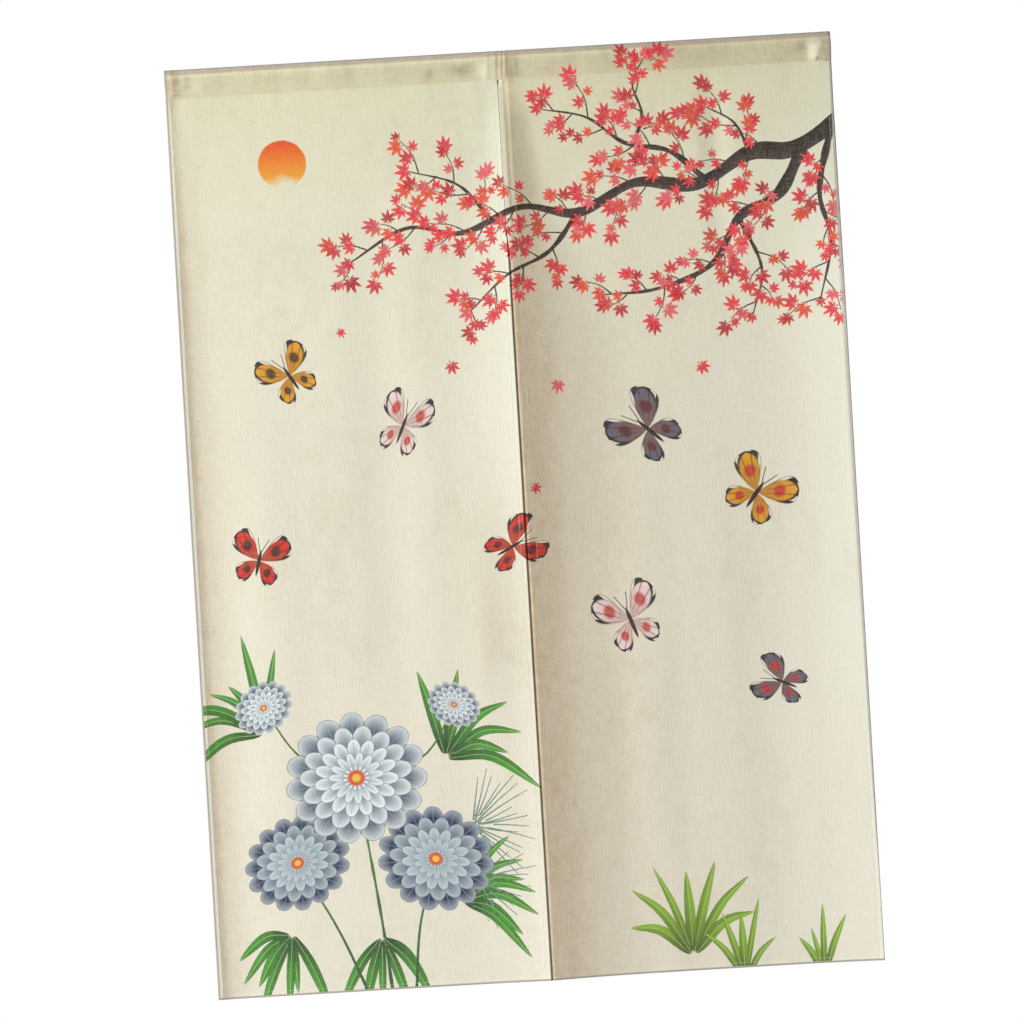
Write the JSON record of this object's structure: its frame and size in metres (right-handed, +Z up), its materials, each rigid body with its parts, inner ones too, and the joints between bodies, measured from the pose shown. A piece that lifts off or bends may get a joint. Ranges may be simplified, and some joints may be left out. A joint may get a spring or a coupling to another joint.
{
  "type": "noren curtain",
  "caption": "Split door curtain: printed cloth panels sewn together at the top of a centre slit, hanging from an empty rod pocket across the top.",
  "frame": {"origin": "middle of the curtain's top edge, where it hangs", "axes": "+X to the viewer's right, +Y away from the viewer, +Z up; the printed front faces -Y"},
  "size_m": [0.8605, 0.0184, 1.2],
  "materials": {
    "printed_cloth": "matte plain-weave cloth, cream, printed on the front",
    "pocket_cloth": "matte plain-weave cloth, khaki cream"
  },
  "bodies": {
    "root": {"left_panel": "printed_cloth", "right_panel": "printed_cloth", "rod_pocket": "pocket_cloth"}
  },
  "joints": []
}
